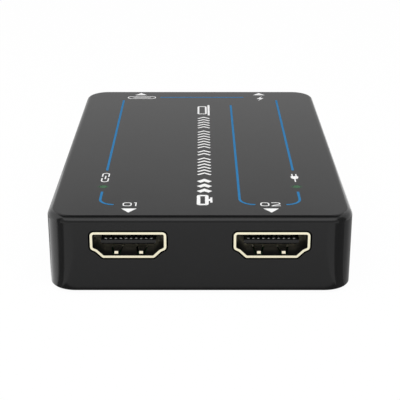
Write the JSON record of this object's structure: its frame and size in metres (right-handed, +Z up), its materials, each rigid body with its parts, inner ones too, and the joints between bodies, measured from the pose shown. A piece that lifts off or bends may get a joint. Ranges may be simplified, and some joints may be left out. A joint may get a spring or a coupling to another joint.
{
  "type": "hdmi to usb converter",
  "caption": "Flat black box with gold-lipped video sockets in its front wall and small reversible ports behind, turning a video signal into computer data.",
  "frame": {"origin": "middle of the box on the surface that its feet stand on", "axes": "+X to the right seen from the video sockets, +Y from the video sockets to the ports behind, +Z up"},
  "size_m": [0.0604, 0.0904, 0.0165],
  "materials": {
    "housing_plastic": "satin moulded black",
    "cover_plastic": "fine textured black",
    "foot_rubber": "matt",
    "screw_steel": "black zinc",
    "gold_plate": "gold plated, bright",
    "insulator_black": "moulded black",
    "contact_metal": "plated",
    "nickel_plate": "nickel plated",
    "clear_plastic": "clear with a green tint",
    "lamp_body": "pale",
    "board_green": "lacquered",
    "chip_black": "moulded",
    "pad_grey": "soft",
    "sink_metal": "anodised",
    "ferrite": "dark grey",
    "can_metal": "bright",
    "ceramic": "tan with tinned ends"
  },
  "bodies": {
    "root": {"board_screws": "screw_steel", "bottom_cover": "cover_plastic", "can_capacitors": "can_metal", "capture_chip": "chip_black", "ceramic_capacitors": "ceramic", "chip_resistors": "chip_black", "circuit_board": "board_green", "cover_screws": "screw_steel", "crystals": "nickel_plate", "data_port_contacts": "contact_metal", "data_port_shell": "nickel_plate", "data_port_tongue": "insulator_black", "heat_sink": "sink_metal", "housing": "housing_plastic", "link_lamp": "lamp_body", "link_light_pipe": "clear_plastic", "memory_chip": "chip_black", "port_controller_chip": "chip_black", "power_chip": "chip_black", "power_inductors": "ferrite", "power_lamp": "lamp_body", "power_light_pipe": "clear_plastic", "power_port_contacts": "contact_metal", "power_port_shell": "nickel_plate", "power_port_tongue": "insulator_black", "regulator_chips": "chip_black", "rubber_feet": "foot_rubber", "splitter_chip": "chip_black", "surge_arrays": "chip_black", "thermal_pad": "pad_grey", "video_in_contacts": "contact_metal", "video_in_shell": "gold_plate", "video_in_tongue": "insulator_black", "video_out_contacts": "contact_metal", "video_out_shell": "gold_plate", "video_out_tongue": "insulator_black"}
  },
  "joints": []
}
